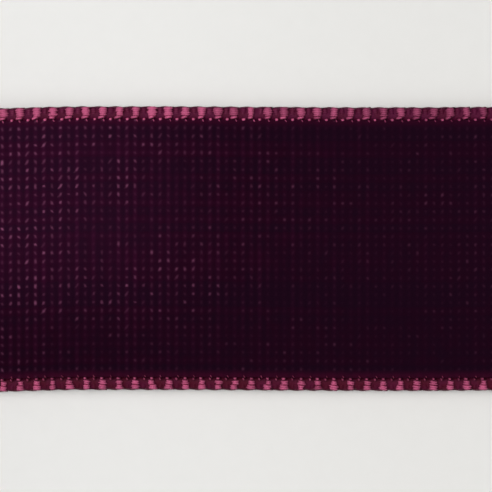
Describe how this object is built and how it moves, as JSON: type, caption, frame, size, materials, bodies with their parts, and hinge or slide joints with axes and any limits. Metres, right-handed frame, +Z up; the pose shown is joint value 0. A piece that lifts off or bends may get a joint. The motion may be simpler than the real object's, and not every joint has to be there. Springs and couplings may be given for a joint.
{
  "type": "ribbon spool",
  "caption": "Spool of velvet ribbon on a snap-together reel, with its outermost turn drawn off over the top and laid flat on the table.",
  "frame": {"origin": "middle of the whole object's footprint, on the table it stands on", "axes": "+X from the reel along the drawn-off ribbon to its cut end, +Y along the reel's axle towards the far flange, +Z up"},
  "size_m": [0.1912, 0.0216, 0.095],
  "materials": {
    "reel_plastic": "white moulded polystyrene, satin gloss",
    "core_cardboard": "spiral-wound kraft cardboard",
    "clear_tape": "clear adhesive tape",
    "label_paper": "uncoated blank label paper",
    "ground_cloth": "plain-woven dark plum back of the ribbon",
    "velvet_pile": "cut velvet pile, dark plum, in rows of tufts",
    "satin_selvedge": "wine satin filament loops"
  },
  "bodies": {
    "drawn_ribbon": {"ribbon_ground": "ground_cloth", "velvet_pile": "velvet_pile", "near_selvedge": "satin_selvedge", "far_selvedge": "satin_selvedge"},
    "reel": {"near_flange": "reel_plastic", "far_flange": "reel_plastic", "core_tube": "core_cardboard", "core_tape": "clear_tape", "wound_ribbon": "velvet_pile", "near_label": "label_paper", "far_label": "label_paper"}
  },
  "joints": [
    {"name": "reel_turn", "type": "hinge", "parent": "drawn_ribbon", "child": "reel", "pos_m": [-0.04805, 0, 0.0475], "axis": [0, 1, 0], "continuous": true}
  ]
}
